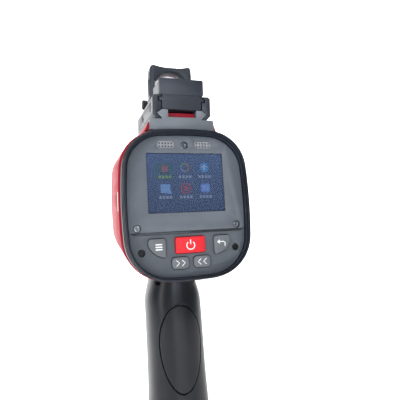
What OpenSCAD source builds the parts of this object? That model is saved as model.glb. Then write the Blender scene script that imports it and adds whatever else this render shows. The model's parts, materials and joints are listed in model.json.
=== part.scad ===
// Handheld date code inkjet printer: pistol grip, rear display and keypad, aiming sight on a top rail.
// X is the user's right, Y points away from the user, Z is up.
// The origin is the centre of the grip's flat base.

/* [Rear face] */
// Height of the screen's centre above the grip's base
face_z = 171; // [140:1:200]
// Distance of the screen's centre behind the base's centre
face_back = 38; // [20:1:60]
// Lean of the rear face, its top away from the user (degrees)
face_tilt = 6.5; // [0:0.5:20]
// Half of the rear face's width
face_half_w = 39.3; // [30:0.1:50]
// Half of the rear face's height
face_half_h = 45.95; // [35:0.05:60]
// Drop of the face's middle below the screen's centre
face_drop = 13.35; // [0:0.05:20]
// Radius of the upper corners
corner_top_r = 24; // [10:1:30]
// Radius of the lower corners
corner_bottom_r = 26; // [10:1:30]
// Depth of the plates below the lip
lip_depth = 5.5; // [2:0.1:8]
// Thickness of the lip
lip_wall = 1.3; // [1:0.1:3]

/* [Screen] */
// Width of the display's window
window_w = 49.2; // [40:0.1:60]
// Height of the display's window
window_h = 37.1; // [30:0.1:45]

/* [Keys] */
// Travel of every key
key_travel = 1.0; // [0.5:0.1:2]
// Height of the keys above their panel
key_proud = 1.3; // [0.5:0.1:3]
// Gap around each key
key_gap = 0.35; // [0.2:0.05:1]
// Height of the line between display cover and key panel, from the screen's centre
split_z = -31.4; // [-36:0.1:-28]

/* [Body] */
// Front end of the side shells
shell_front = 57; // [45:1:70]
// Front end of the nose
nose_front = 85; // [75:1:100]
// Wall of the shells
wall = 2.6; // [2:0.1:4]

/* [Rail and sight] */
// Height of the rail's seat
rail_seat_z = 204.6; // [200:0.1:210]
// Rear end of the rail
rail_rear = -32; // [-36:0.5:-20]
// Front end of the rail
rail_end = 48; // [30:0.5:50]
// Height of the rail's dovetail tips
rail_tip_z = 215.2; // [212:0.1:218]
// Front end of the clamp mount
mount_end = 40; // [10:1:42]
// Outward travel of each clamp jaw
jaw_travel = 0.6; // [0.3:0.1:1.2]
// Height of the sight's top
sight_top = 255.9; // [245:0.1:265]

/* [Grip] */
// Rake of the grip, its base towards the user (degrees)
grip_rake = 9.6; // [0:0.1:20]
// Half of the grip's width
grip_half_w = 21.5; // [16:0.5:26]
// Half of the grip's depth
grip_half_d = 25; // [18:0.5:30]

/* [Printing nose] */
// Width of the ink cartridge
cartridge_w = 27; // [20:1:34]
// Height of the ink cartridge
cartridge_h = 50; // [40:1:60]
// Length of the ink cartridge
cartridge_l = 58; // [40:1:65]
// Radius of the guide rollers
roller_r = 5.5; // [4:0.5:8]

/* [Hidden] */
$fn = 48;
face_y = -face_back;
side_arc = 300;
cap_arc = 250;
ring_front = 8;        // front end of the rear housing, along the face's normal
gasket_front = 9.2;
shell_offset = -2.2;   // the shells stand this far outside the face's outline
outline_z = face_z - face_drop;
cover_t = 3;           // thickness of both face plates
shelf_y = 3.05;
lip_shift = 0.6;
lip_step = 0.7;        // the plates lie this much inside the lip
rail_half = 21;
shoulder_half = rail_half + 0.9;
neck_half = 13.3;
tip_half = 16.1;
top_half = 13.2;
slot_half = 9.3;
rail_floor_z = 212.9;
rail_top_z = 217.6;
block_half = 12.8;
block_top = 227.1;
tongue_half = 14.7;
jaw_outer = 19;
bolt_z = 220.2;
bolt_ys = [rail_rear + 8, rail_rear + 42];
trigger_y = 40;
trigger_z = 104;
cart_z = 158;          // middle of the cartridge
roller_x = 24;
roller_y = nose_front - 2.6;
navy = [0.07, 0.08, 0.11];
slate = [0.42, 0.45, 0.48];
slate_dark = [0.34, 0.37, 0.40];
key_grey = [0.47, 0.49, 0.52];
red = [0.62, 0.06, 0.09];
black = [0.06, 0.07, 0.09];
alloy = [0.53, 0.56, 0.58];
steel = [0.72, 0.73, 0.75];

// ---------- helpers ----------

// A 2-D shape in X and Z, drawn out from y0 to y1
module along_y(y0, y1) {
    translate([0, y1, 0]) rotate([90, 0, 0]) linear_extrude(y1 - y0) children();
}

// A 2-D shape in Y and Z, drawn out from x0 to x1
module along_x(x0, x1) {
    translate([x0, 0, 0]) rotate([90, 0, 90]) linear_extrude(x1 - x0) children();
}

module rod_y(r, y0, y1) { translate([0, y0, 0]) rotate([-90, 0, 0]) cylinder(r = r, h = y1 - y0); }
module rod_x(r, x0, x1) { translate([x0, 0, 0]) rotate([0, 90, 0]) cylinder(r = r, h = x1 - x0); }

// The rear face's own frame: x right, y into the device, z up the face
module in_face() { translate([0, face_y, face_z]) rotate([-face_tilt, 0, 0]) children(); }

// The grip's own frame: z up the raked grip
module in_grip() { rotate([-grip_rake, 0, 0]) children(); }

module mirror_x() { children(); mirror([1, 0, 0]) children(); }

module box(lo, hi) { translate(lo) cube(hi - lo); }

module round_rect(w, h, r) {
    square([w - 2 * r, h], center = true);
    square([w, h - 2 * r], center = true);
    for (sx = [-1, 1], sz = [-1, 1]) translate([sx * (w / 2 - r), sz * (h / 2 - r)]) circle(r);
}

// Centre of a corner circle of radius r, tangent inside the side arc and the top or bottom arc
function corner_centre(r) =
    let (a = [face_half_w - side_arc, 0], b = [0, face_half_h - cap_arc],
         ra = side_arc - r, rb = cap_arc - r, d = norm(b - a), u = (b - a) / d,
         s = (ra * ra - rb * rb + d * d) / (2 * d), h = sqrt(ra * ra - s * s))
    a + u * s + [-u.y, u.x] * h;

function bearing(v) = atan2(v.y, v.x);

function arc(c, r, a0, a1, n) =
    [for (i = [0:n]) c + r * [cos(a0 + (a1 - a0) * i / n), sin(a0 + (a1 - a0) * i / n)]];

// Upper right quarter, from the side round to the top, moved inwards by d
function quarter(r, d) =
    let (a = [face_half_w - side_arc, 0], b = [0, face_half_h - cap_arc], c = corner_centre(r),
         ta = bearing(c - a), tb = bearing(c - b))
    concat(arc(a, side_arc - d, 0, ta, 4), arc(c, r - d, ta + 3, tb - 3, 14),
           arc(b, cap_arc - d, tb, 90, 4));

function flip(p, s) = [for (v = p) [v.x * s.x, v.y * s.y]];
function backwards(p) = [for (i = [len(p) - 1:-1:0]) p[i]];

// Outline of the rear face, moved inwards by d, about its own middle
module outline(d = 0) {
    top = quarter(corner_top_r, d);
    low = quarter(corner_bottom_r, d);
    polygon(concat(top, backwards(flip(top, [-1, 1])), flip(low, [-1, -1]),
                   backwards(flip(low, [1, -1]))));
}

module face_outline(d = 0) { translate([0, -face_drop]) outline(d); }

// The same outline lowered a little, so that the lip is thinner below than above
module inner_outline(d = 0) { translate([0, -lip_shift]) face_outline(d); }

// Round hole with a wider recess above it, sunk into a face plate from the user's side
module screw_sink(x, z, recess_r, depth) {
    translate([x, 0, z]) { rod_y(recess_r, -1, depth); rod_y(1.15, -1, cover_t + 1); }
}

// Cross-head screw in a face plate; its head's top is at y = top
module face_screw(x, z, head_r, top, length) {
    translate([x, 0, z]) difference() {
        union() { rod_y(head_r, top, top + 0.9); rod_y(0.95, top, top + length); }
        for (a = [0, 90]) rotate([0, a, 0]) translate([-0.25, top - 1, -head_r * 0.6])
            cube([0.5, 1.5, head_r * 1.2]);
    }
}

cover_screw_at = [[-31.8, -27.4], [31.8, -27.4]];
panel_screw_at = [[-29.8, -41.9], [29.8, -41.9]];
top_screw_at = [0, 23.9];
grille_x = 12.1;
grille_z = 24.1;

// ---------- rear face ----------

module rear_housing() color(navy) in_face() difference() {
    union() {
        difference() {
            union() {
                along_y(-lip_depth, -lip_depth + 2) face_outline(0);
                along_y(-lip_depth + 2, -1) face_outline(-0.5);
                along_y(-1, ring_front) face_outline(-1);
            }
            along_y(-lip_depth - 1, -2.6) inner_outline(lip_wall);
            along_y(-2.7, shelf_y) inner_outline(lip_wall + lip_step);
            along_y(shelf_y - 0.1, ring_front + 1) face_outline(4.2);
        }
        for (p = concat(cover_screw_at, panel_screw_at))
            intersection() {
                translate([p.x, 0, p.y]) rod_y(3.6, shelf_y + 0.3, ring_front);
                along_y(0, 20) face_outline(1);
            }
        translate([top_screw_at.x, 0, top_screw_at.y]) {
            rod_y(3.2, shelf_y + 0.3, ring_front);
            box([-1.2, shelf_y + 0.3, 0], [1.2, ring_front, 5.5]);
        }
    }
    for (p = concat(cover_screw_at, panel_screw_at, [top_screw_at]))
        translate([p.x, 0, p.y]) rod_y(1.0, -1, ring_front + 1);
}

module gasket() color(black) in_face() along_y(ring_front + 0.02, gasket_front - 0.02) difference() {
    face_outline(0.4);
    face_outline(4.2);
}

// Upper plate's outline: the face above the split line, with rounded lower corners
module cover_shape(d = 0) intersection() {
    inner_outline(lip_wall + lip_step + 0.15 + d);
    translate([0, split_z + 40 + d]) round_rect(74.6 - 2 * d, 80, 4.5);
}

module display_cover() color(slate) in_face() difference() {
    along_y(0, cover_t) cover_shape();
    along_y(-1, cover_t + 1) round_rect(window_w + 0.3, window_h + 0.3, 0.6);
    for (s = [-1, 1]) translate([s * grille_x, 0, grille_z])
        along_y(-1, cover_t + 1) round_rect(11.4, 4.9, 2);
    for (p = cover_screw_at) screw_sink(p.x, p.y, 2.4, 1.6);
    screw_sink(top_screw_at.x, top_screw_at.y, 2.4, 2.45);
}

module keypad_panel() color(slate_dark) in_face() difference() {
    along_y(0, cover_t) difference() {
        inner_outline(lip_wall + lip_step + 0.15);
        cover_shape(-0.25);
    }
    along_y(-1, cover_t + 1) {
        menu_shape(key_gap);
        mirror([1, 0]) menu_shape(key_gap);
        power_shape(key_gap);
        arrow_shape(-1, key_gap);
        arrow_shape(1, key_gap);
    }
    for (p = panel_screw_at) screw_sink(p.x, p.y, 2.3, 1.8);
}

module display_window() color([0.10, 0.13, 0.24, 0.85]) in_face()
    along_y(0.15, 1.25) round_rect(window_w, window_h, 0.5);

module display_module() color([0.12, 0.13, 0.15]) in_face() {
    along_y(1.35, 3.4) square([48.96, 36.72], center = true);
    along_y(3.4, 5.6) square([60, 41], center = true);
}

module grille(s) color(slate) in_face() translate([s * grille_x, 0, grille_z]) difference() {
    along_y(0.7, 1.5) round_rect(11.3, 4.8, 1.95);
    for (i = [-2:2], j = [-1, 1]) translate([i * 1.95, 0, j]) rod_y(0.5, 0, 3);
}
module grille_left() grille(-1);
module grille_right() grille(1);

module speaker(s) color(black) in_face() translate([s * grille_x, 0, grille_z]) {
    along_y(1.7, 2.9) round_rect(10.8, 4.3, 1.8);
    along_y(3.1, 6.4) round_rect(16, 4.6, 1);
    along_y(2.8, 3.2) round_rect(10.2, 4.0, 1.6);
}
module speaker_left() speaker(-1);
module speaker_right() speaker(1);

module cover_screws() color(steel) in_face() for (p = cover_screw_at) face_screw(p.x, p.y, 1.9, 0.6, 5.5);
module top_screw() color(steel) in_face() face_screw(top_screw_at.x, top_screw_at.y, 1.9, 1.5, 5);
module panel_screws() color(black) in_face() for (p = panel_screw_at) face_screw(p.x, p.y, 1.9, 0.8, 5.5);

// ---------- keys ----------

// Outer lower key: straight top and inner side, its outer lower corner one large arc
module menu_shape(g = 0) translate([-15.4, -34]) intersection() {
    translate([-5.15, -5.8]) round_rect(10.3 + 2 * g, 11.6 + 2 * g, 1.5 + g);
    translate([1.1, 1.0]) circle(12.5 + g);
}
module power_shape(g = 0) translate([0, -38.6]) round_rect(18.6 + 2 * g, 9.8 + 2 * g, 1.1 + g);
module arrow_shape(s, g = 0) translate([s * 6.8, -49.2]) intersection() {
    round_rect(10.4 + 2 * g, 6.9 + 2 * g, 2.2 + g);
    translate([s * -4.4, 5.2]) circle(12.2 + g);
}

// A key's cap and the flange behind the panel that keeps it in
module key_solid() {
    along_y(-key_proud, cover_t + 0.4) children(0);
    along_y(cover_t + 0.35, cover_t + 0.95) children(1);
}

module key_menu() color(key_grey) in_face() key_solid() { menu_shape(); menu_shape(0.9); }
module key_escape() color(key_grey) in_face() mirror([1, 0, 0])
    key_solid() { menu_shape(); menu_shape(0.9); }
module key_power() color([0.85, 0.1, 0.1]) in_face() key_solid() { power_shape(); power_shape(0.9); }
module key_next() color(key_grey) in_face() key_solid() { arrow_shape(-1); arrow_shape(-1, 0.7); }
module key_back() color(key_grey) in_face() key_solid() { arrow_shape(1); arrow_shape(1, 0.7); }

// Layer behind the flanges of the pressed keys
module in_key_room(y0, y1)
    translate([0, cover_t + 0.95 + key_travel, 0]) along_y(y0, y1) children();

module keypad_membrane() color(black) in_face() in_key_room(0.45, 1.25)
    translate([0, -42.6]) round_rect(46, 18, 5);

module main_board() color([0.05, 0.3, 0.15]) in_face() {
    along_y(9.6, 11.2) translate([0, -15]) square([58, 72], center = true);
    box([-20, 11.2, -30], [-4, 13, -14]);
    box([2, 11.2, -10], [14, 13.4, 2]);
    box([4, 11.2, -44], [24, 16, -34]);
}

// ---------- body ----------

// Everything in front of the plane parallel to the rear face at depth y
module ahead_of(y) in_face() box([-80, y, -120], [80, 220, 90]);

// Side view of the body
module side_view(d = 0) polygon([
    [-70, 90], [-70, 230], [shell_front - 4, 230], [shell_front + 2, 206 - d],
    [nose_front + 1, 197 - d], [nose_front + 1, 128 + d], [shell_front + 2, 119 + d],
    [44, 109.2 + d], [30, 90]]);

// Plan of the body: parallel sides, drawn in round the nose
module plan_view(d = 0) polygon([
    [-60, -70], [60, -70], [60, shell_front - 14], [41.8 - d, shell_front - 13], [37 - d, shell_front],
    [33 - d, nose_front + 1], [d - 33, nose_front + 1], [d - 37, shell_front],
    [d - 41.8, shell_front - 13], [-60, shell_front - 14]]);

module body_solid(y0, y1, d) intersection() {
    along_y(y0, y1) translate([0, outline_z]) outline(shell_offset + d);
    along_x(-60, 60) side_view(d);
    translate([0, 0, 80]) linear_extrude(150) plan_view(d);
}

// Shoulders beside the rail's base
module shoulder_shape(low) polygon([[rail_half - 1, low], [rail_half - 1, 209.8],
    [shoulder_half - 0.3, 209.8], [shoulder_half, 209.4], [shoulder_half + 1.6, max(low, 204)],
    [shoulder_half + 1.6, low]]);
module shoulders() mirror_x() {
    intersection() {
        along_y(-30, rail_end) shoulder_shape(200);
        ahead_of(gasket_front);
    }
    along_y(rail_rear + 2.7, 0) shoulder_shape(205);
}

boss_at = [[-14, 190], [46, 190], [46, 128], [-14, 128]];

module shell_pair() difference() {
    union() {
        difference() {
            intersection() { body_solid(-60, shell_front, 0); ahead_of(gasket_front); }
            body_solid(-61, shell_front + 1, wall);
        }
        intersection() {
            body_solid(-60, shell_front, 0.6);
            ahead_of(gasket_front);
            for (p = boss_at) translate([0, p.x, p.y]) rod_x(3.4, -60, 60);
        }
        // raised ridge in front of the rail
        intersection() {
            box([-17, rail_end + 2, 203], [17, shell_front, 213]);
            along_x(-20, 20) polygon([[rail_end + 2, 200], [rail_end + 2, 210.5], [rail_end + 3.5, 212],
                [shell_front - 3, 211.2], [shell_front, 207.5], [shell_front, 200]]);
        }
        shoulders();
    }
    // seat of the rail
    box([-rail_half - 0.1, rail_rear - 20, rail_seat_z], [rail_half + 0.1, rail_end + 0.4, 230]);
    for (y = rail_screw_ys) translate([0, y, 190]) cylinder(r = 1.55, h = 40);
    for (p = boss_at) translate([0, p.x, p.y]) {
        rod_x(1.3, -60, 60);
        rod_x(3.1, 35.4, 60);
    }
    for (s = [-1, 1]) box([s > 0 ? 40.6 : -50, -28.5, 153.5], [s > 0 ? 50 : -40.6, -17.5, 166.5]);
}

rail_screw_ys = [rail_rear + 10, rail_rear + 38.5, rail_end - 10];

module left_shell() color(red) intersection() { shell_pair(); box([-60, -70, 80], [-0.04, 90, 240]); }
module right_shell() color(red) intersection() { shell_pair(); box([0.04, -70, 80], [60, 90, 240]); }

module shell_screws() color(steel) for (p = boss_at) translate([0, p.x, p.y]) difference() {
    union() { rod_x(1.2, 20, 36); rod_x(2.7, 35.5, 37.1); }
    translate([36.1, 0, 0]) rotate([0, 90, 0]) cylinder(r = 1.2, h = 3, $fn = 6);
}

module label_plate() box([-41.15, -28.2, 153.8], [-40.65, -17.8, 166.2]);
module label_left() color([0.8, 0.8, 0.78]) label_plate();
module label_right() color([0.8, 0.8, 0.78]) mirror([1, 0, 0]) label_plate();

// ---------- rail and clamp mount ----------

module rail_section() polygon([
    [-rail_half, rail_seat_z + 0.05], [rail_half, rail_seat_z + 0.05], [rail_half, 210.9],
    [rail_half - 0.7, 211.6], [neck_half, 211.6], [neck_half, 212.2], [tip_half, rail_tip_z - 0.15],
    [tip_half, rail_tip_z + 0.15], [top_half, rail_top_z], [slot_half + 0.3, rail_top_z],
    [slot_half, rail_top_z - 0.3], [slot_half, rail_floor_z], [-slot_half, rail_floor_z],
    [-slot_half, rail_top_z - 0.3], [-slot_half - 0.3, rail_top_z], [-top_half, rail_top_z],
    [-tip_half, rail_tip_z + 0.15], [-tip_half, rail_tip_z - 0.15], [-neck_half, 212.2],
    [-neck_half, 211.6], [-rail_half + 0.7, 211.6], [-rail_half, 210.9]]);

module rail() color(alloy) difference() {
    along_y(rail_rear, rail_end) rail_section();
    for (i = [0:6]) box([-25, rail_rear + 9 + 10 * i + 2.4, rail_floor_z + 1.4],
                        [25, rail_rear + 9 + 10 * i + 7.6, 220]);
    for (y = rail_screw_ys) translate([0, y, 0]) {
        translate([0, 0, 200]) cylinder(r = 1.7, h = 20);
        translate([0, 0, rail_floor_z - 2.4]) cylinder(r = 3.2, h = 5);
    }
}

// Strip that covers the screws in the rail's slot
module rail_insert() color(red) box([-slot_half + 0.1, rail_rear + 4, rail_floor_z + 0.05],
                                    [slot_half - 0.1, rail_end - 1, rail_floor_z + 3.5]);

module rail_screws() color(steel) for (y = rail_screw_ys) translate([0, y, 0]) difference() {
    union() {
        translate([0, 0, rail_seat_z - 4.5]) cylinder(r = 1.5, h = 11);
        translate([0, 0, rail_floor_z - 2.35]) cylinder(r = 3, h = 1.9);
    }
    translate([0, 0, rail_floor_z - 1.6]) cylinder(r = 1.3, h = 4, $fn = 6);
}

// Block of the clamp mount, with the T-shaped tongues that guide the jaws
module mount_block() color(black) difference() {
    along_y(rail_rear + 0.2, mount_end) {
        polygon([[-block_half + 0.8, rail_top_z + 0.3], [block_half - 0.8, rail_top_z + 0.3],
            [block_half, rail_top_z + 1.1], [block_half, block_top], [-block_half, block_top],
            [-block_half, rail_top_z + 1.1]]);
        translate([0, 224.4]) square([2 * tongue_half, 2], center = true);
    }
    for (y = bolt_ys) translate([0, y, bolt_z]) rod_x(1.75, -30, 30);
    for (y = sight_screw_ys) translate([0, y, rail_top_z]) cylinder(r = 1.6, h = 20);
}

// Right jaw of the clamp; the left one is its mirror image
module jaw_solid() difference() {
    along_y(rail_rear + 0.2, mount_end) difference() {
        polygon([[jaw_outer - 1.2, block_top - 0.3], [block_half + 0.6, block_top - 0.3],
            [block_half + 0.6, rail_top_z + 0.35], [tip_half + 0.35, rail_tip_z + 0.45],
            [tip_half + 0.35, rail_tip_z - 0.3], [neck_half + 0.75, 212.45], [neck_half + 1.2, 211.95],
            [jaw_outer - 2.2, 211.95], [jaw_outer, 214.4], [jaw_outer, block_top - 1.5]]);
        translate([block_half, 222.9]) square([tongue_half + jaw_travel + 0.2 - block_half, 3]);
    }
    for (y = bolt_ys) translate([0, y, bolt_z]) rod_x(1.75, 0, 30);
}

module jaw_left() color(black) difference() {
    mirror([1, 0, 0]) jaw_solid();
    for (y = bolt_ys) translate([0, y, bolt_z]) rod_x(2.85, -25, -16.2);
}
module jaw_right() color(black) jaw_solid();

module clamp_bolt(y) color(steel) translate([0, y, bolt_z]) difference() {
    union() { rod_x(1.6, -17, 18.6); rod_x(2.7, -18.7, -16.25); }
    translate([-19.5, 0, 0]) rotate([0, 90, 0]) cylinder(r = 1.3, h = 2.4, $fn = 6);
    translate([18.1, 0, 0]) rotate([0, 90, 0]) cylinder(r = 1.0, h = 2.4, $fn = 6);
}
module clamp_bolt_rear() clamp_bolt(bolt_ys[0]);
module clamp_bolt_front() clamp_bolt(bolt_ys[1]);

// ---------- sight ----------

sight_screw_ys = [rail_rear + 14.5, rail_rear + 54];
sight_front = rail_rear + 58;
knob_y = 11;
knob_z = 230.9;
hood_rear = -4;
hood_front = 7;
hood_half = 15.4;
block_front = rail_rear + 22;

module sight_body() color(black) difference() {
    union() {
        along_y(rail_rear + 0.2, sight_front) translate([0, 229.6])
            round_rect(28.9, 4.8, 0.6);
        along_y(rail_rear + 0.2, block_front) translate([0, 232.3]) round_rect(28.9, 10.2, 1);
    }
    // emitter's pocket, open towards the lens
    box([-4.2, block_front - 4.3, 232.2], [4.2, block_front + 1, 235.6]);
    for (y = sight_screw_ys) translate([0, y, 220]) cylinder(r = 1.6, h = 30);
    for (s = [-1, 1]) translate([s * 8, rail_rear + 8, 235.2]) cylinder(r = 2.1, h = 4);
    translate([0, knob_y, knob_z]) rod_x(0.95, -20, -11.8);
}

// Window frame: uprights, and a top bar that dips between raised ears
module hood_face() difference() {
    polygon([[-hood_half, 232.1], [hood_half, 232.1], [hood_half, 250.5], [hood_half - 0.4, 254.6],
        [hood_half - 1.2, sight_top - 0.3], [hood_half - 2.4, sight_top], [9, sight_top - 0.9],
        [5, sight_top - 1.4], [-5, sight_top - 1.4], [-9, sight_top - 0.9], [2.4 - hood_half, sight_top],
        [1.2 - hood_half, sight_top - 0.3], [0.4 - hood_half, 254.6], [-hood_half, 250.5]]);
    lens_shape();
}
module lens_shape(g = 0) {
    translate([0, 239.8]) round_rect(23.6 + 2 * g, 13.4 + 2 * g, 1.5);
    intersection() {
        translate([0, 240.2]) circle(11.6 + g);
        translate([-20, 241]) square([40, 20]);
    }
}

module sight_hood() color(black) difference() {
    along_y(hood_rear, hood_front) hood_face();
    // groove that holds the lens
    along_y(hood_front - 3.8, hood_front - 1.2) lens_shape(0.9);
    // rebate round the window, on the user's side
    along_y(hood_rear - 1, hood_rear + 1.6) lens_shape(0.5);
    // chamfers on the uprights, on the user's side
    mirror_x() translate([hood_half, hood_rear, 240]) rotate([0, 0, 45])
        cube([3.6, 3.6, 60], center = true);
    // lightening steps on the outer sides
    for (s = [-1, 1]) box([s > 0 ? hood_half - 0.8 : -20, hood_rear + 3, 235],
                          [s > 0 ? 20 : 0.8 - hood_half, hood_front - 2.4, 247]);
}

module sight_lens() color([0.55, 0.75, 0.78, 0.35])
    along_y(hood_front - 3.6, hood_front - 1.4) lens_shape(0.7);

module sight_emitter() color([0.5, 0.05, 0.05]) {
    box([-3.9, block_front - 4.1, 232.4], [3.9, block_front - 1.2, 235.3]);
    translate([0, 0, 233.8]) rod_y(1, block_front - 1.3, block_front - 0.2);
}

// Battery cap and brightness knob on the left side
module sight_knob() color(black) translate([0, knob_y, knob_z]) difference() {
    union() {
        rod_x(0.9, -15.8, -12);
        rod_x(3.6, -18.8, -15.3);
        rod_x(3.1, -19.4, -18.7);
    }
    box([-20, -2.2, -0.35], [-18.9, 2.2, 0.35]);
    for (a = [0:30:330]) rotate([a, 0, 0]) box([-18.5, -0.3, 3.3], [-15.7, 0.3, 4]);
}

module sight_screws() color(steel) {
    for (s = [-1, 1]) translate([s * 8, rail_rear + 8, 235.3]) difference() {
        cylinder(r = 1.95, h = 1.5);
        translate([-2, -0.25, 0.8]) cube([4, 0.5, 2]);
    }
    for (y = sight_screw_ys) translate([0, y, rail_top_z + 3]) cylinder(r = 1.5, h = 11.2);
}

// ---------- grip ----------

// Front view of the grip: narrow neck under the body, wider hand area, slight flare at the base
function grip_edge(z) = grip_half_w - 0.9 + 0.9 * pow((z - 52) / 52, 2) * (z < 52 ? 1.2 : 0)
    - (z > 84 ? 4.6 * (1 - cos(min(180, (z - 84) * 7.2))) / 2 : 0);
function grip_heights() = [for (i = [0:30]) -12 + i * 4.6];

module grip_front_view(d = 0) polygon(concat(
    [for (z = grip_heights()) [grip_edge(z) - d, z]],
    backwards([for (z = grip_heights()) [d - grip_edge(z), z]])));

// Plan of the grip: flatter sides, rounder front and back
module grip_plan(d = 0) intersection() {
    resize_free_ellipse(d);
    square([2 * grip_half_w + 6, 2 * grip_half_d - 2 * d], center = true);
}
module resize_free_ellipse(d) polygon([for (a = [0:6:354])
    [(grip_half_w + 0.8 - d) * sign(cos(a)) * pow(abs(cos(a)), 0.8),
     (grip_half_d - d) * sign(sin(a)) * pow(abs(sin(a)), 0.8)]]);

module grip_side_view(d = 0) polygon([
    [-grip_half_d - 2 + d, -12], [-grip_half_d + 1 + d, 40], [-grip_half_d + 0.6 + d, 70],
    [-grip_half_d + 2.5 + d, 92], [-grip_half_d + 3 + d, 130], [grip_half_d + 2 - d, 130],
    [grip_half_d - d, 104], [grip_half_d - 2.5 - d, 84], [grip_half_d - 3.5 - d, 66],
    [grip_half_d - 1 - d, 30], [grip_half_d - d, -12]]);

module grip_solid(d = 0) in_grip() intersection() {
    translate([0, 0, -12]) linear_extrude(140) grip_plan(d);
    along_y(-60, 60) grip_front_view(d);
    along_x(-40, 40) grip_side_view(d);
}

cap_top = 9;

module inlay_shape(d = 0) polygon([for (a = [0:7.5:352.5])
    let (w = 14.8 - d, up = 26 - d, down = 32.5 - d, s = sin(a))
    [w * cos(a) * (1 + 0.04 * s), 57 + (s > 0 ? up : down) * s]]);

module grip_frame() color(black) difference() {
    intersection() {
        grip_solid();
        box([-60, -60, cap_top + 0.05], [60, 70, 125]);
    }
    body_solid(-60, shell_front, -0.06);
    // battery bay
    intersection() {
        grip_solid(2.6);
        box([-60, -60, 0], [60, 70, 92]);
        in_grip() box([-18, -18, -10], [18, 17, 200]);
    }
    // groove round the inlay, and its seat
    in_grip() intersection() {
        difference() { grip_solid_upright(-1); grip_solid_upright(1.6); }
        along_y(-40, 0) inlay_shape(0);
    }
    // trigger's slot and pin hole
    trigger_slot();
    translate([0, trigger_y, trigger_z]) rod_x(1.5, -40, 40);
    for (p = neck_screw_at) neck_screw_hole(p);
}

module grip_solid_upright(d) intersection() {
    translate([0, 0, -12]) linear_extrude(140) grip_plan(d);
    along_y(-60, 60) grip_front_view(d);
    along_x(-40, 40) grip_side_view(d);
}

module grip_inlay() color([0.08, 0.09, 0.11]) in_grip() intersection() {
    difference() { grip_solid_upright(0.15); grip_solid_upright(1.5); }
    along_y(-40, 0) inlay_shape(0.7);
}

// Two screws tie the neck to the body, each at the bottom of a deep hole facing the user
neck_screw_at = [[-13.4, 3, 100.8], [13.4, 3, 100.8]];
module neck_screw_hole(p) translate(p) { rod_y(1.8, -25, 3.5); rod_y(1.2, 3, 14); }
module neck_screws() color(steel) for (p = neck_screw_at) translate(p) difference() {
    union() { rod_y(1.65, 1.8, 3.4); rod_y(1.1, 3, 13); }
    translate([0, 2.6, 0]) rotate([90, 0, 0]) cylinder(r = 0.9, h = 3, $fn = 6);
}

module trigger_slot() box([-6, 24, 72], [6, 60, 112]);

module trigger_side(d = 0) polygon([
    [trigger_y - 3.6, trigger_z + 3], [trigger_y + 3.6, trigger_z + 3], [trigger_y + 4.6, trigger_z - 3],
    [trigger_y + 2.4, trigger_z - 10], [trigger_y + 2.2, trigger_z - 16], [trigger_y + 4.2, trigger_z - 23],
    [trigger_y + 7, trigger_z - 28], [trigger_y + 4.6, trigger_z - 29.4], [trigger_y - 0.5, trigger_z - 25],
    [trigger_y - 4.4, trigger_z - 18], [trigger_y - 5, trigger_z - 8]]);

module trigger() color(black) difference() {
    union() {
        along_x(-5.2, 5.2) trigger_side();
        translate([0, trigger_y, trigger_z]) rod_x(4, -5.2, 5.2);
    }
    translate([0, trigger_y, trigger_z]) {
        rod_x(1.55, -10, 10);
        rod_x(3.4, 2.6, 10);
    }
}

module trigger_pin() color(steel) translate([0, trigger_y, trigger_z]) rod_x(1.48, -11, 11);

// Torsion spring's coil, round the pin in the trigger's side pocket
module trigger_spring() color(steel) translate([0, trigger_y, trigger_z]) difference() {
    rod_x(2.9, 2.9, 5.6);
    rod_x(2.0, 0, 10);
}

module trigger_switch() color([0.1, 0.1, 0.1]) {
    box([-5, 24.2, 84], [5, 28.4, 95]);
    translate([0, 0, 90]) rod_y(1.2, 28.3, 31.6);
}

module battery_pack() color([0.15, 0.25, 0.5]) in_grip()
    for (s = [-1, 1]) translate([s * 8.9, -0.4, 15]) cylinder(r = 8.75, h = 64);

module base_cap() color(black) difference() {
    intersection() { grip_solid(); box([-60, -60, 0], [60, 70, cap_top]); }
    for (p = base_screw_at) translate([p.x, p.y, -1]) {
        cylinder(r = 1.5, h = 20);
        cylinder(r = 3, h = 3.6);
    }
    port_room(0.05);
}
base_screw_at = [[-14, -13], [14, -13], [-14, 14], [14, 14]];
module base_screws() color(steel) for (p = base_screw_at) translate([p.x, p.y, 0]) difference() {
    union() {
        translate([0, 0, 0.8]) cylinder(r = 2.7, h = 1.7);
        translate([0, 0, 1]) cylinder(r = 1.4, h = 7.9);
    }
    cylinder(r = 1.2, h = 1.8, $fn = 6);
}

module port_room(g) translate([0, 0, 4.6]) along_y(16.4 - g, 40) round_rect(9.4 + 2 * g, 3.8 + 2 * g, 1.8);
module charge_port() color(steel) translate([0, 0, 4.6]) difference() {
    along_y(16.6, 24.2) round_rect(9.3, 3.7, 1.7);
    along_y(17.6, 30) round_rect(8.4, 2.8, 1.3);
}

// ---------- printing nose ----------

plate_y = nose_front - 3;

module cartridge_room(g) box([-cartridge_w / 2 - g, 15, cart_z - cartridge_h / 2 - g],
                             [cartridge_w / 2 + g, nose_front + 5, cart_z + cartridge_h / 2 + g]);

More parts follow.
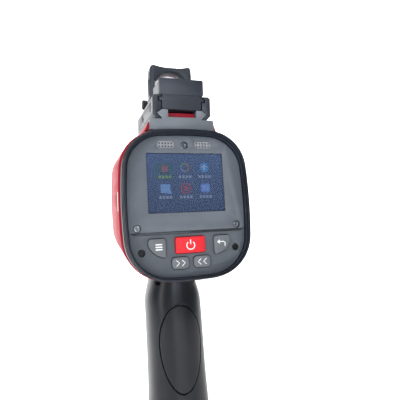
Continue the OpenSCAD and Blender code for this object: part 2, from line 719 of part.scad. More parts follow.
module nose_housing() color(black) difference() {
    body_solid(shell_front + 0.3, nose_front, 0);
    body_solid(shell_front - 1, plate_y - 3, wall);
    // shallow recess for the nozzle plate
    along_y(plate_y, nose_front + 2) translate([0, cart_z]) round_rect(58.6, 64.6, 5);
    cartridge_room(0.4);
    for (s = [-1, 1]) box([s > 0 ? roller_x - 6.6 : -roller_x - 6.6, roller_y - 7, cart_z - 20.4],
                          [s > 0 ? roller_x + 6.6 : -roller_x + 6.6, nose_front + 2, cart_z + 20.4]);
    for (s = [-1, 1]) translate([s * roller_x, roller_y, cart_z - 24]) cylinder(r = 1.5, h = 48);
    for (p = nose_screw_at) translate([p.x, 0, p.y]) rod_y(1.0, plate_y - 8, nose_front);
    translate([0, 0, cart_z - 28.7]) rod_y(1.6, plate_y - 8, nose_front);
}

nose_screw_at = [[-24, 185], [24, 185], [-24, 131], [24, 131]];

module nozzle_plate() color(steel) difference() {
    along_y(plate_y + 0.05, plate_y + 1.65) translate([0, cart_z]) round_rect(58, 64, 4.7);
    cartridge_room(0.4);
    for (s = [-1, 1]) translate([s * roller_x, 0, cart_z]) along_y(nose_front - 5, nose_front + 2)
        { square([13.2, 40.8], center = true); square([3.4, 48], center = true); }
    for (p = nose_screw_at) translate([p.x, 0, p.y]) rod_y(1.2, plate_y - 8, nose_front + 1);
    translate([0, 0, cart_z - 28.7]) rod_y(1.6, plate_y - 8, nose_front + 1);
}

module nose_screws() color(steel) for (p = nose_screw_at) translate([p.x, 0, p.y]) difference() {
    union() { rod_y(0.95, plate_y - 6, plate_y + 2); rod_y(2.2, plate_y + 1.7, plate_y + 2.7); }
    translate([0, plate_y + 3, 0]) rotate([90, 0, 0]) cylinder(r = 0.9, h = 0.9, $fn = 6);
}

// Ink cartridge: body, jet strip on its front face and a finger ridge
module ink_cartridge() color([0.16, 0.17, 0.19]) difference() {
    union() {
        box([-cartridge_w / 2, plate_y - cartridge_l, cart_z - cartridge_h / 2],
            [cartridge_w / 2, plate_y + 1.8, cart_z + cartridge_h / 2]);
        box([-3, plate_y + 1.7, cart_z - 9], [3, plate_y + 2.6, cart_z + 9]);
    }
    for (z = [-18, 18]) box([-9, plate_y - 1, cart_z + z - 3], [9, plate_y + 3, cart_z + z + 3]);
}

module head_driver() color([0.05, 0.3, 0.15]) {
    box([-16, plate_y - cartridge_l - 4, 140], [16, plate_y - cartridge_l - 2.4, 182]);
    box([-11, plate_y - cartridge_l - 2.5, 146], [11, plate_y - cartridge_l - 0.4, 152]);
}

module roller(s) color([0.12, 0.12, 0.13]) translate([s * roller_x, roller_y, cart_z]) difference() {
    union() {
        translate([0, 0, -19.6]) cylinder(r = roller_r - 1.6, h = 39.2);
        for (z = [-19.6, 7.6]) translate([0, 0, z]) cylinder(r = roller_r, h = 12);
    }
    translate([0, 0, -21]) cylinder(r = 1.55, h = 42);
}
module roller_left() roller(-1);
module roller_right() roller(1);
module roller_axles() color(steel) for (s = [-1, 1])
    translate([s * roller_x, roller_y, cart_z - 23.4]) cylinder(r = 1.48, h = 46.8);

module photo_sensor() color([0.2, 0.02, 0.02])
    translate([0, 0, cart_z - 28.7]) rod_y(1.5, plate_y - 6, plate_y + 1.2);

rear_housing();
gasket();
display_cover();
keypad_panel();
display_window();
display_module();
grille_left();
grille_right();
speaker_left();
speaker_right();
cover_screws();
top_screw();
panel_screws();
key_menu();
key_power();
key_escape();
key_next();
key_back();
keypad_membrane();
main_board();
left_shell();
right_shell();
shell_screws();
label_left();
label_right();
rail();
rail_insert();
rail_screws();
mount_block();
jaw_left();
jaw_right();
clamp_bolt_rear();
clamp_bolt_front();
sight_body();
sight_hood();
sight_lens();
sight_emitter();
sight_knob();
sight_screws();
grip_frame();
grip_inlay();
neck_screws();
trigger();
trigger_pin();
trigger_spring();
trigger_switch();
battery_pack();
base_cap();
base_screws();
charge_port();
nose_housing();
nozzle_plate();
ink_cartridge();
head_driver();
roller_left();
roller_right();
roller_axles();
photo_sensor();
nose_screws();
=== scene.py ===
"""Looks of the handheld date code inkjet printer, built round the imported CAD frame."""

import json
import math

import bmesh
import bpy
from mathutils import Matrix, Vector


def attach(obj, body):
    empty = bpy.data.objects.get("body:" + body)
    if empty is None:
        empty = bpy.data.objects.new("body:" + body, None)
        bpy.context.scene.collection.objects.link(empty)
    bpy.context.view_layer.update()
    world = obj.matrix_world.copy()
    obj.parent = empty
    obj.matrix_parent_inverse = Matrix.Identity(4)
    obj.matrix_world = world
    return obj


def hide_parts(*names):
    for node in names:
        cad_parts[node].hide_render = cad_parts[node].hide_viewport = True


MM = 0.001
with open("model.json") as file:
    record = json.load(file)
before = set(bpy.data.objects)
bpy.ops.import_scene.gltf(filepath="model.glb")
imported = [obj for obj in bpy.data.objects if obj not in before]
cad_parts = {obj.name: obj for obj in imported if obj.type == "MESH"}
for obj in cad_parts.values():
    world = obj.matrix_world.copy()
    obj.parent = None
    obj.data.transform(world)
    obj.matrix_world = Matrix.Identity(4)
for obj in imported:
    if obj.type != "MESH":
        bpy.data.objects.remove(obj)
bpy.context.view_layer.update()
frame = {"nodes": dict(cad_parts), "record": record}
nodes = frame["nodes"]
scene = bpy.context.scene

# ---------- the rear face's frame: x right, y into the device, z up the face ----------
FACE_TILT = math.radians(6.5)
FACE = Matrix.Translation((0, -38 * MM, 171 * MM)) @ Matrix.Rotation(-FACE_TILT, 4, "X")


# ---------- materials ----------
def opaque(rgb):
    return (*rgb, 1.0)


def new_material(name, base, rough, metallic=0.0, coat=0.0, coat_rough=0.1, specular=0.5):
    m = bpy.data.materials.new(name)
    m.use_nodes = True
    b = m.node_tree.nodes["Principled BSDF"]
    b.inputs["Base Color"].default_value = opaque(base)
    b.inputs["Roughness"].default_value = rough
    b.inputs["Metallic"].default_value = metallic
    b.inputs["Coat Weight"].default_value = coat
    b.inputs["Coat Roughness"].default_value = coat_rough
    b.inputs["Specular IOR Level"].default_value = specular
    return m


def link_noise(m, scale, detail=4.0, stretch=(1, 1, 1)):
    t = m.node_tree
    coord = t.nodes.new("ShaderNodeTexCoord")
    mapping = t.nodes.new("ShaderNodeMapping")
    mapping.inputs["Scale"].default_value = stretch
    tex = t.nodes.new("ShaderNodeTexNoise")
    tex.inputs["Scale"].default_value = scale
    tex.inputs["Detail"].default_value = detail
    t.links.new(coord.outputs["Object"], mapping.inputs["Vector"])
    t.links.new(mapping.outputs["Vector"], tex.inputs["Vector"])
    return tex


def vary(m, base, dark, light, scale=60, stretch=(1, 1, 1)):
    """Slow colour change across a surface, between two multiples of its colour."""
    t = m.node_tree
    tex = link_noise(m, scale, 3.0, stretch)
    ramp = t.nodes.new("ShaderNodeValToRGB")
    ramp.color_ramp.elements[0].position = 0.3
    ramp.color_ramp.elements[1].position = 0.7
    ramp.color_ramp.elements[0].color = opaque([c * dark for c in base])
    ramp.color_ramp.elements[1].color = opaque([min(1, c * light) for c in base])
    t.links.new(tex.outputs["Fac"], ramp.inputs["Fac"])
    t.links.new(ramp.outputs["Color"], t.nodes["Principled BSDF"].inputs["Base Color"])


def grain(m, scale, height, stretch=(1, 1, 1), rough_lo=None, rough_hi=None):
    """Fine bump, and a roughness that follows it."""
    t = m.node_tree
    tex = link_noise(m, scale, 6.0, stretch)
    bump = t.nodes.new("ShaderNodeBump")
    bump.inputs["Strength"].default_value = 0.6
    bump.inputs["Distance"].default_value = height * MM
    t.links.new(tex.outputs["Fac"], bump.inputs["Height"])
    t.links.new(bump.outputs["Normal"], t.nodes["Principled BSDF"].inputs["Normal"])
    if rough_lo is not None:
        span = t.nodes.new("ShaderNodeMapRange")
        span.inputs["To Min"].default_value = rough_lo
        span.inputs["To Max"].default_value = rough_hi
        t.links.new(tex.outputs["Fac"], span.inputs["Value"])
        t.links.new(span.outputs["Result"], t.nodes["Principled BSDF"].inputs["Roughness"])


def finish(name, base, rough, metallic=0.0, dark=0.9, light=1.08, patch=60, grain_scale=2500,
           grain_mm=0.03, spread=0.06, stretch=(1, 1, 1), **shader):
    m = new_material(name, base, rough, metallic, **shader)
    vary(m, base, dark, light, patch)
    grain(m, grain_scale, grain_mm, stretch, rough - spread, rough + spread)
    return m


MAT = {
    "housing": finish("housing", (0.006, 0.009, 0.018), 0.36, specular=0.35),
    "seal": finish("seal", (0.012, 0.012, 0.014), 0.75),
    "cover_plate": finish("cover_plate", (0.128, 0.143, 0.168), 0.6, grain_mm=0.05, specular=0.3),
    "key_plate": finish("key_plate", (0.100, 0.112, 0.130), 0.6, grain_mm=0.05, specular=0.3),
    "grille_plate": finish("grille_plate", (0.27, 0.28, 0.30), 0.5),
    "electronics": finish("electronics", (0.03, 0.03, 0.035), 0.6),
    "dark_insert": finish("dark_insert", (0.002, 0.002, 0.003), 0.9, specular=0.1),
    "screw_steel": finish("screw_steel", (0.22, 0.225, 0.24), 0.32, 1.0, grain_mm=0.01),
    "screw_black": finish("screw_black", (0.008, 0.008, 0.010), 0.4, 0.3, specular=0.3),
    "key_grey": finish("key_grey", (0.135, 0.146, 0.160), 0.6, grain_mm=0.03),
    "key_red": finish("key_red", (0.72, 0.016, 0.026), 0.5, grain_mm=0.02, specular=0.3),
    "legend": finish("legend", (0.88, 0.88, 0.87), 0.5),
    "board": finish("board", (0.02, 0.16, 0.06), 0.4),
    "red_shell": finish("red_shell", (0.36, 0.012, 0.028), 0.5, grain_mm=0.04, specular=0.2),
    "label": finish("label", (0.62, 0.62, 0.60), 0.5),
    "rail_alloy": finish("rail_alloy", (0.20, 0.22, 0.245), 0.48, 0.35, grain_scale=3500, grain_mm=0.05),
    "anodised": finish("anodised", (0.030, 0.035, 0.048), 0.42, 0.15, grain_scale=3200, grain_mm=0.04),
    "knob": finish("knob", (0.022, 0.024, 0.030), 0.4, 0.3),
    "grip_black": finish("grip_black", (0.006, 0.008, 0.012), 0.33, grain_mm=0.05, grain_scale=1800,
                         specular=0.3),
    "grip_inlay": finish("grip_inlay", (0.008, 0.009, 0.012), 0.38, grain_mm=0.06, grain_scale=1500,
                         specular=0.32),
    "trigger_black": finish("trigger_black", (0.016, 0.016, 0.02), 0.4),
    "cells": finish("cells", (0.03, 0.06, 0.25), 0.35),
    "port_steel": finish("port_steel", (0.4, 0.4, 0.42), 0.3, 1.0),
    "nose_black": finish("nose_black", (0.016, 0.018, 0.025), 0.45, grain_mm=0.05),
    "plate_steel": finish("plate_steel", (0.5, 0.51, 0.53), 0.3, 1.0, stretch=(1, 1, 0.04)),
    "cartridge": finish("cartridge", (0.03, 0.032, 0.036), 0.5),
    "roller_rubber": finish("roller_rubber", (0.018, 0.018, 0.02), 0.7),
    "sensor": finish("sensor", (0.12, 0.005, 0.008), 0.15),
}


def glass_material(name, tint, alpha, rough=0.04):
    m = new_material(name, tint, rough, coat=0.4, coat_rough=0.03)
    vary(m, tint, 0.85, 1.15, 40)
    m.node_tree.nodes["Principled BSDF"].inputs["Alpha"].default_value = alpha
    return m


MAT["window"] = glass_material("window", (0.05, 0.075, 0.14), 0.30)
MAT["lens"] = glass_material("lens", (0.62, 0.52, 0.55), 0.5)


def glow_material(name, colour, strength):
    m = new_material(name, [c * 0.4 for c in colour], 0.6)
    b = m.node_tree.nodes["Principled BSDF"]
    vary(m, [c * 0.4 for c in colour], 0.85, 1.1, 300)
    b.inputs["Emission Color"].default_value = opaque(colour)
    b.inputs["Emission Strength"].default_value = strength
    return m


SLOT_OF = {s["node"]: s["material_slot"] for s in frame["record"]["subparts"]}
for name, obj in nodes.items():
    material = MAT["grille_plate"] if name.startswith("grille") else MAT[SLOT_OF[name]]
    obj.data.materials.clear()
    obj.data.materials.append(material)

# ---------- softened edges on the CAD parts ----------
BEVEL_MM = {
    "rear_housing": 0.35, "display_cover": 0.2, "keypad_panel": 0.2, "left_shell": 0.5, "right_shell": 0.5,
    "rail": 0.3, "mount_block": 0.4, "jaw_left": 0.3, "jaw_right": 0.3, "sight_body": 0.5, "sight_hood": 0.5,
    "key_power": 0.4, "key_menu": 0.4, "key_escape": 0.4, "key_next": 0.4, "key_back": 0.4, "base_cap": 0.5,
    "nose_housing": 0.6, "nozzle_plate": 0.3, "ink_cartridge": 0.5, "roller_left": 0.5, "roller_right": 0.5,
    "cover_screws": 0.15, "top_screw": 0.15, "panel_screws": 0.15, "sight_knob": 0.25,
    "clamp_bolt_rear": 0.2, "clamp_bolt_front": 0.2, "shell_screws": 0.2, "grille_left": 0.1,
    "grille_right": 0.1, "rail_insert": 0.2,
}
WELD_MM = 0.002
FLAT_DEGREES = 0.6
SHARP_DEGREES = 35


def split_sharp(obj, degrees):
    split = obj.modifiers.new("split", "EDGE_SPLIT")
    split.split_angle = math.radians(degrees)


for name, obj in nodes.items():
    for polygon in obj.data.polygons:
        polygon.use_smooth = True
    weld = obj.modifiers.new("weld", "WELD")
    weld.merge_threshold = WELD_MM * MM
    if name in BEVEL_MM:
        flat = obj.modifiers.new("flat", "DECIMATE")
        flat.decimate_type = "DISSOLVE"
        flat.angle_limit = math.radians(FLAT_DEGREES)
        bevel = obj.modifiers.new("bevel", "BEVEL")
        bevel.width = BEVEL_MM[name] * MM
        bevel.segments = 2
        bevel.limit_method = "ANGLE"
        bevel.angle_limit = math.radians(SHARP_DEGREES)
        bevel.harden_normals = True
    else:
        split_sharp(obj, SHARP_DEGREES)


# ---------- mesh helpers ----------
def link_mesh(name, bm, material, body, smooth=True):
    mesh = bpy.data.meshes.new(name)
    bmesh.ops.recalc_face_normals(bm, faces=bm.faces)
    bm.to_mesh(mesh)
    bm.free()
    mesh.materials.append(material)
    for polygon in mesh.polygons:
        polygon.use_smooth = smooth
    obj = bpy.data.objects.new(name, mesh)
    scene.collection.objects.link(obj)
    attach(obj, body)
    return obj


def add_prism(bm, outline, y0, y1, at):
    """A closed outline in x and z (mm) drawn from depth y0 to y1 (mm), in the frame of matrix at."""
    rear = [bm.verts.new(at @ Vector((x * MM, y0 * MM, z * MM))) for x, z in outline]
    front = [bm.verts.new(at @ Vector((x * MM, y1 * MM, z * MM))) for x, z in outline]
    bm.faces.new(rear)
    bm.faces.new(front[::-1])
    n = len(outline)
    for i in range(n):
        bm.faces.new((rear[i], front[i], front[(i + 1) % n], rear[(i + 1) % n]))


def on_circle(r, degrees):
    a = math.radians(degrees)
    return (r * math.cos(a), r * math.sin(a))


def disc(r, n=32):
    return [on_circle(r, 360 * i / n) for i in range(n)]


def ring_arc(r, a0, a1, n=24):
    return [on_circle(r, a0 + (a1 - a0) * i / n) for i in range(n + 1)]


def move(points, x, z):
    return [(px + x, pz + z) for px, pz in points]


def rounded(w, h, r, n=5):
    """A rectangle round the origin with corners of radius r."""
    points = []
    for cx, cz, a0 in ((w / 2 - r, h / 2 - r, 0), (r - w / 2, h / 2 - r, 90), (r - w / 2, r - h / 2, 180),
                       (w / 2 - r, r - h / 2, 270)):
        points += move(ring_arc(r, a0, a0 + 90, n), cx, cz)
    return points


def stroke(path, width):
    """The outline of an open line of the given width, its ends square."""
    left, right = [], []
    for i, p in enumerate(path):
        a = Vector(path[max(i - 1, 0)])
        b = Vector(path[min(i + 1, len(path) - 1)])
        d = (b - a).normalized()
        side = Vector((-d.y, d.x)) * width / 2
        left.append((p[0] + side.x, p[1] + side.y))
        right.append((p[0] - side.x, p[1] - side.y))
    return left + right[::-1]


# ---------- key legends: generic marks in the keys' own white ----------
KEY_FACE = -1.3
LEGEND_MM, LEGEND_SUNK = 0.06, 0.02
UPPER_KEYS_Z, LOWER_KEYS_Z = -38.9, -49.2
LOWER_KEYS_X = 6.8
CHEVRON_GAP, CHEVRON_REACH = 1.75, 0.95


def legend(name, body, strokes, x, z):
    bm = bmesh.new()
    for outline in strokes:
        add_prism(bm, move(outline, x, z), KEY_FACE - LEGEND_MM, KEY_FACE + LEGEND_SUNK, FACE)
    return link_mesh(name, bm, MAT["legend"], body, smooth=False)


def chevrons(point):
    """Two chevrons side by side that point right (1) or left (-1)."""
    reach = point * CHEVRON_REACH
    return [stroke([(x - reach, 1.8), (x + reach, 0), (x - reach, -1.8)], 0.42)
            for x in (-CHEVRON_GAP, CHEVRON_GAP)]


bars = [move(rounded(4.2, 0.75, 0.3), 0, z) for z in (1.5, 0, -1.5)]
legend("legend_menu", "key_menu", bars, -19.6, UPPER_KEYS_Z)
power = [stroke(ring_arc(2.5, 130, 410), 0.6), move(rounded(0.65, 2.9, 0.3), 0, 2.0)]
legend("legend_power", "key_power", power, 0, UPPER_KEYS_Z)
back_arrow = [stroke([(2.2, -1.9), (2.6, 0.1), (1.5, 1.0), (-1.2, 1.0)], 0.6),
              [(-2.8, 1.0), (-1.0, 2.4), (-1.0, -0.4)]]
legend("legend_escape", "key_escape", back_arrow, 19.9, UPPER_KEYS_Z)
legend("legend_next", "key_next", chevrons(1), -LOWER_KEYS_X, LOWER_KEYS_Z)
legend("legend_back", "key_back", chevrons(-1), LOWER_KEYS_X, LOWER_KEYS_Z)

# ---------- screen: backlight, six generic icons and captions, thin solids behind the window ----------
BACKLIGHT_Y, ICON_Y, MARK_Y = 1.31, 1.29, 1.27
BACKLIGHT_MM, ICON_MM = 0.03, 0.015
ICON_GLOW = 0.8
ICON_X = (-13.3, -0.3, 12.5)
ICON_Z = (9.7, -3.5)
CAPTION_Z = (3.8, -9.0)
CAPTION_MARK_X = (-3.4, -1.2, 1.0, 3.2)
FIRST_CAPTION, OTHER_CAPTIONS = (0.20, 0.30, 0.05), (0.24, 0.30, 0.44)


def screen_gradient():
    """Backlight: a blue that fades down the screen."""
    m = new_material("screen_backlight", (0.02, 0.03, 0.06), 0.5)
    t = m.node_tree
    b = t.nodes["Principled BSDF"]
    coord = t.nodes.new("ShaderNodeTexCoord")
    split = t.nodes.new("ShaderNodeSeparateXYZ")
    ramp = t.nodes.new("ShaderNodeValToRGB")
    t.links.new(coord.outputs["Generated"], split.inputs["Vector"])
    t.links.new(split.outputs["Z"], ramp.inputs["Fac"])
    ramp.color_ramp.elements[0].color = (0.014, 0.026, 0.062, 1)
    ramp.color_ramp.elements[1].color = (0.052, 0.090, 0.190, 1)
    t.links.new(ramp.outputs["Color"], b.inputs["Emission Color"])
    b.inputs["Emission Strength"].default_value = 1.0
    return m


def screen_solid(name, outlines, material, y, thickness):
    bm = bmesh.new()
    for outline in outlines:
        add_prism(bm, outline, y, y + thickness, FACE)
    return link_mesh(name, bm, material, "machine", smooth=False)


def icon(name, column, row, outlines, colour, y=ICON_Y):
    placed = [move(outline, ICON_X[column], ICON_Z[row]) for outline in outlines]
    screen_solid(name, placed, glow_material(name, colour, ICON_GLOW), y, ICON_MM)


screen_solid("screen_backlight", [rounded(48.9, 36.7, 0.3)], screen_gradient(), BACKLIGHT_Y, BACKLIGHT_MM)
icon("screen_tile", 0, 0, [move(rounded(11.5, 10.4, 0.6), 0, -2.2)], (0.035, 0.10, 0.13))
drop = [(0, 2.9)] + move(ring_arc(2.1, 25, -205, 16), 0, -0.9)
icon("icon_drop", 0, 0, [drop], (0.25, 0.08, 0.08), MARK_Y)
icon("icon_drop_base", 0, 0, [move(rounded(6.4, 1.1, 0.3), 0, -3.6)], (0.04, 0.04, 0.06), MARK_Y)
RING_COLOURS = ((0.30, 0.20, 0.05), (0.10, 0.28, 0.14), (0.20, 0.24, 0.50), (0.30, 0.16, 0.06))
for i, colour in enumerate(RING_COLOURS):
    icon(f"icon_ring_{i}", 1, 0, [stroke(ring_arc(2.5, 90 * i, 90 * i + 84, 8), 0.8)], colour)
icon("icon_disc", 2, 0, [disc(3.1)], (0.06, 0.22, 0.52))
icon("icon_disc_mark", 2, 0, [rounded(1.0, 3.6, 0.3), move(rounded(3.4, 0.8, 0.3), 0, 0.5)],
     (0.3, 0.45, 0.62), MARK_Y)
icon("icon_sheet", 0, 1, [rounded(6.2, 5.4, 0.5), move(rounded(2.2, 1.6, 0.3), 2.6, -2.6)],
     (0.16, 0.30, 0.60))
icon("icon_stop", 1, 1, [stroke(ring_arc(3.0, 0, 356, 30), 0.8), disc(1.6)], (0.30, 0.05, 0.07))
icon("icon_box", 2, 1, [rounded(6.2, 5.6, 0.9)], (0.09, 0.20, 0.58))
icon("icon_box_rows", 2, 1, [move(rounded(4.4, 0.6, 0.2), 0, z) for z in (1.3, 0, -1.3)],
     (0.25, 0.36, 0.66), MARK_Y)
for row, z in enumerate(CAPTION_Z):
    for column in range(len(ICON_X)):
        marks = [move(rounded(1.5, 1.7, 0.3), dx, z - ICON_Z[row]) for dx in CAPTION_MARK_X]
        colour = FIRST_CAPTION if row == column == 0 else OTHER_CAPTIONS
        icon(f"screen_caption_{row}{column}", column, row, marks, colour, MARK_Y)

# ---------- grip: a closed skin and a closed inlay, in mm along the raked grip ----------
RAKE = math.radians(9.6)
GRIP = Matrix.Rotation(-RAKE, 4, "X")
GRIP_HALF_WIDTH, WAIST_IN = 21.5, 0.9
FOOT_Z, FOOT_FLARE = 52, 1.2
NECK_Z, NECK_IN, NECK_DEGREES_PER_MM = 84, 4.6, 7.2
SQUARENESS = 0.80


def grip_half_width(z):
    """Half the grip's width: flared towards the foot, eased in at the neck."""
    w = GRIP_HALF_WIDTH - WAIST_IN
    if z < FOOT_Z:
        w += WAIST_IN * ((z - FOOT_Z) / FOOT_Z) ** 2 * FOOT_FLARE
    if z > NECK_Z:
        w -= NECK_IN * (1 - math.cos(math.radians(min(180, (z - NECK_Z) * NECK_DEGREES_PER_MM)))) / 2
    return w


def smooth_line(points, z):
    """Height-to-depth line through points, eased between them."""
    if z <= points[0][0]:
        return points[0][1]
    for (z0, d0), (z1, d1) in zip(points, points[1:]):
        if z <= z1:
            t = (z - z0) / (z1 - z0)
            t = t * t * (3 - 2 * t)
            return d0 + (d1 - d0) * t
    return points[-1][1]


REAR_LINE = [(0, -24.6), (40, -23.9), (70, -24.2), (95, -22.3), (125, -22.0)]
FRONT_LINE = [(0, 24.6), (30, 23.9), (66, 21.4), (84, 22.4), (104, 24.6), (125, 25.2)]


def grip_point(a, z, inset=0.0):
    """Point of the grip's skin at angle a (0 at +x, 90 at the front) and height z, in mm."""
    c, s = math.cos(a), math.sin(a)
    w = grip_half_width(z) - inset
    d = (smooth_line(FRONT_LINE, z) if s > 0 else -smooth_line(REAR_LINE, z)) - inset
    return (w * math.copysign(abs(c) ** SQUARENESS, c), d * math.copysign(abs(s) ** SQUARENESS, s))


INLAY_Z, INLAY_UP, INLAY_DOWN = 57, 26, 32.5
INLAY_HALF_WIDTH, INLAY_EGG = 14.8, 0.04
WELL_INSIDE = -10


def inlay_distance(x, z):
    """Distance in mm from the inlay's egg outline, negative inside it."""
    dz = z - INLAY_Z
    up = INLAY_UP if dz > 0 else INLAY_DOWN
    width = INLAY_HALF_WIDTH * (1 + INLAY_EGG * dz / up)
    level = math.hypot(x / width, dz / up)
    if level < 0.2:
        return WELL_INSIDE
    return (level - 1) * level / math.hypot(x / width ** 2, dz / up ** 2)


# coarse round the front, fine at the rear where the inlay is
FRONT_STEPS, REAR_STEPS = 60, 240
GRIP_ANGLES = [math.pi * i / FRONT_STEPS for i in range(FRONT_STEPS)]
GRIP_ANGLES += [math.pi * (1 + i / REAR_STEPS) for i in range(REAR_STEPS)]
Z_LOW, Z_HIGH, ROWS = -6, 126, 330


def grip_ring(z, inset_of):
    """One closed loop of the grip's skin, sunk by inset_of(x, y, z)."""
    ring = []
    for a in GRIP_ANGLES:
        x, y = grip_point(a, z)
        inset = inset_of(x, y, z)
        if inset:
            x, y = grip_point(a, z, inset)
        ring.append((x, y, z))
    return ring


SEAT_DEPTH, SEAT_MARGIN, SEAT_SLOPE = 1.5, 0.35, 0.3


def skin_inset(x, y, z):
    """How deep the skin is sunk: the inlay's seat, inside the egg outline at the rear."""
    if y > 0:
        return 0.0
    d = inlay_distance(x, z)
    return SEAT_DEPTH * max(0.0, min(1.0, (SEAT_MARGIN - d) / SEAT_SLOPE))


def closed_tube(rings):
    """A closed mesh through the rings, from the lowest to the highest."""
    bm = bmesh.new()
    verts = [[bm.verts.new(GRIP @ (Vector(p) * MM)) for p in ring] for ring in rings]
    n = len(rings[0])
    for low, high in zip(verts, verts[1:]):
        for i in range(n):
            bm.faces.new((low[i], low[(i + 1) % n], high[(i + 1) % n], high[i]))
    bm.faces.new(verts[0][::-1])
    bm.faces.new(verts[-1])
    return bm


def cut(obj, cutters):
    """Cuts closed meshes out of an object and keeps the result as its mesh."""
    for bm in cutters:
        mesh = bpy.data.meshes.new("cutter")
        bmesh.ops.recalc_face_normals(bm, faces=bm.faces)
        bm.to_mesh(mesh)
        bm.free()
        cutter = bpy.data.objects.new("cutter", mesh)
        scene.collection.objects.link(cutter)
        modifier = obj.modifiers.new("cut", "BOOLEAN")
        modifier.operation = "DIFFERENCE"
        modifier.object = cutter
        modifier.solver = "EXACT"
        bpy.context.view_layer.update()
        evaluated = obj.evaluated_get(bpy.context.evaluated_depsgraph_get())
        result = bpy.data.meshes.new_from_object(evaluated)
        obj.modifiers.remove(modifier)
        obj.data = result
        bpy.data.objects.remove(cutter)
        bpy.data.meshes.remove(mesh)


def block(low, high):
    bm = bmesh.new()
    (x0, y0, z0), (x1, y1, z1) = low, high
    add_prism(bm, [(x0, z0), (x1, z0), (x1, z1), (x0, z1)], y0, y1, Matrix())
    return bm


def rod(r, y0, y1, x, z):
    """A rod along y whose axis passes through x, z."""
    bm = bmesh.new()
    add_prism(bm, disc(r, 40), y0, y1, Matrix.Translation((x * MM, 0, z * MM)))
    return bm


CAP_TOP, BODY_BOTTOM = 9.05, 114
NECK_HOLE_X, NECK_HOLE_Z, NECK_HOLE_R, NECK_HOLE_END = 13.4, 100.8, 1.8, 5.2
HEIGHTS = [Z_LOW + (Z_HIGH - Z_LOW) * j / ROWS for j in range(ROWS + 1)]


def build_skin():
    """The grip's skin, which ends on the cap below and inside the body above."""
    bm = closed_tube([grip_ring(z, skin_inset) for z in HEIGHTS])
    skin = link_mesh("grip_skin", bm, MAT["grip_black"], "machine")
    cutters = [block((-60, -90, -40), (60, 90, CAP_TOP)),
               block((-60, -90, BODY_BOTTOM), (60, 90, 160)),
               block((-6, 24, 72), (6, 60, 130))]
    cutters += [rod(NECK_HOLE_R, -40, NECK_HOLE_END, x, NECK_HOLE_Z) for x in (-NECK_HOLE_X, NECK_HOLE_X)]
    cut(skin, cutters)
    split_sharp(skin, 40)
    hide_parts("grip_frame")


INLAY_ROWS = [z for z in HEIGHTS if 24.5 < z < 83]
INLAY_GAP, INLAY_ROUND = 0.2, 0.7
INLAY_SWELL, INLAY_DROP, INLAY_BACK = 0.10, 0.35, 1.45


def build_inlay():
    """The inlay: a closed shell that fills its seat up to a narrow groove."""
    bm = bmesh.new()
    outer, inner = {}, {}
    for j, z in enumerate(INLAY_ROWS):
        for i, a in enumerate(GRIP_ANGLES):
            x, y = grip_point(a, z)
            d = inlay_distance(x, z)
            if y < 0 and d < -INLAY_GAP:
                edge = max(0.0, 1 - (-INLAY_GAP - d) / INLAY_ROUND)
                swell = INLAY_SWELL - INLAY_DROP * edge * edge
                outer[j, i] = bm.verts.new(GRIP @ (Vector((*grip_point(a, z, -swell), z)) * MM))
                inner[j, i] = bm.verts.new(GRIP @ (Vector((*grip_point(a, z, INLAY_BACK), z)) * MM))
    count = len(GRIP_ANGLES)
    # directed edges of the shell's front that no second face shares
    open_edges = {}
    for j in range(len(INLAY_ROWS) - 1):
        for i in range(count):
            k = (i + 1) % count
            keys = ((j, i), (j, k), (j + 1, k), (j + 1, i))
            if all(key in outer for key in keys):
                bm.faces.new([outer[key] for key in keys])
                bm.faces.new([inner[key] for key in keys[::-1]])
                for a, b in zip(keys, keys[1:] + keys[:1]):
                    if (b, a) in open_edges:
                        del open_edges[b, a]
                    else:
                        open_edges[a, b] = True
    for a, b in open_edges:
        bm.faces.new((outer[a], inner[a], inner[b], outer[b]))
    for v in [v for v in bm.verts if not v.link_faces]:
        bm.verts.remove(v)
    inlay = link_mesh("grip_inlay_skin", bm, MAT["grip_inlay"], "machine")
    split_sharp(inlay, 50)
    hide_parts("grip_inlay")


build_skin()
build_inlay()


# ---------- floor, light, camera ----------
PAPER = (0.93, 0.93, 0.93)
PAPER_GLOW = 0.5


def stage_material():
    m = new_material("paper", PAPER, 0.9)
    vary(m, PAPER, 0.995, 1.0, 3)
    b = m.node_tree.nodes["Principled BSDF"]
    b.inputs["Emission Color"].default_value = (1, 1, 1, 1)
    b.inputs["Emission Strength"].default_value = PAPER_GLOW
    return m


def build_stage():
    """A paper sweep: flat floor, curve of 0.6 m radius, wall behind the object."""
    bm = bmesh.new()
    sweep = move(ring_arc(0.6, -80, 0, 8), 1.2, 0.6)
    profile = [(-3.0, 0.0), (1.2, 0.0)] + sweep + [(1.8, 3.0)]
    rows = [[bm.verts.new((x, y, z)) for y, z in profile] for x in (-4.0, 4.0)]
    for i in range(len(profile) - 1):
        bm.faces.new((rows[0][i], rows[1][i], rows[1][i + 1], rows[0][i + 1]))
    mesh = bpy.data.meshes.new("floor")
    bm.to_mesh(mesh)
    bm.free()
    mesh.materials.append(stage_material())
    for polygon in mesh.polygons:
        polygon.use_smooth = True
    floor = bpy.data.objects.new("floor", mesh)
    scene.collection.objects.link(floor)


build_stage()


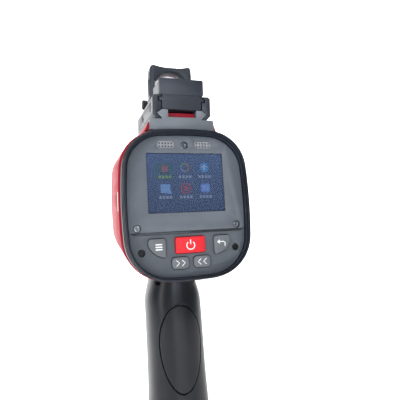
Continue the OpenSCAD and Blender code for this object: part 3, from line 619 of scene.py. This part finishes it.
def area_light(name, position, target, size, power, colour=(1, 1, 1)):
    data = bpy.data.lights.new(name, "AREA")
    data.shape = "RECTANGLE"
    data.size, data.size_y = size
    data.energy = power
    data.color = colour
    light = bpy.data.objects.new(name, data)
    light.location = position
    light.rotation_mode = "QUATERNION"
    light.rotation_quaternion = (Vector(target) - Vector(position)).to_track_quat("-Z", "Y")
    scene.collection.objects.link(light)


MIDDLE = (0, 0, 0.16)
area_light("key", (-0.95, -0.62, 0.55), MIDDLE, (0.45, 0.9), 5.5)
area_light("strip", (0.10, -1.15, 0.17), MIDDLE, (0.08, 0.34), 2.2, (0.80, 0.90, 1.0))
area_light("front", (-0.45, -1.2, 0.95), MIDDLE, (0.9, 0.6), 5)
area_light("top", (0.1, 0.2, 1.4), MIDDLE, (1.2, 1.2), 6)
area_light("backdrop", (0, 0.9, 1.9), (0, 1.6, 0.3), (3.0, 0.8), 60)
world = bpy.data.worlds.new("world")
world.use_nodes = True
world.node_tree.nodes["Background"].inputs["Color"].default_value = (0.95, 0.97, 1.0, 1)
world.node_tree.nodes["Background"].inputs["Strength"].default_value = 0.2
scene.world = world
scene.view_settings.view_transform = "Standard"

# the camera's place and axes, fitted to the photograph's view of the face
CAMERA_AT = Vector((-57.2, -249.1, 161.7)) * MM
FORWARD = Vector((0.29679, 0.95491, -0.00869)).normalized()
RIGHT = Vector((0.95453, -0.29692, -0.02667))
RIGHT = (RIGHT - FORWARD * RIGHT.dot(FORWARD)).normalized()
camera_data = bpy.data.cameras.new("camera")
camera_data.sensor_width = 36.0
camera_data.lens = 31.5
camera_data.clip_start, camera_data.clip_end = 0.01, 50
camera = bpy.data.objects.new("camera", camera_data)
up = RIGHT.cross(FORWARD)
camera.matrix_world = Matrix((
    (RIGHT.x, up.x, -FORWARD.x, CAMERA_AT.x),
    (RIGHT.y, up.y, -FORWARD.y, CAMERA_AT.y),
    (RIGHT.z, up.z, -FORWARD.z, CAMERA_AT.z),
    (0, 0, 0, 1)))
scene.collection.objects.link(camera)
scene.camera = camera
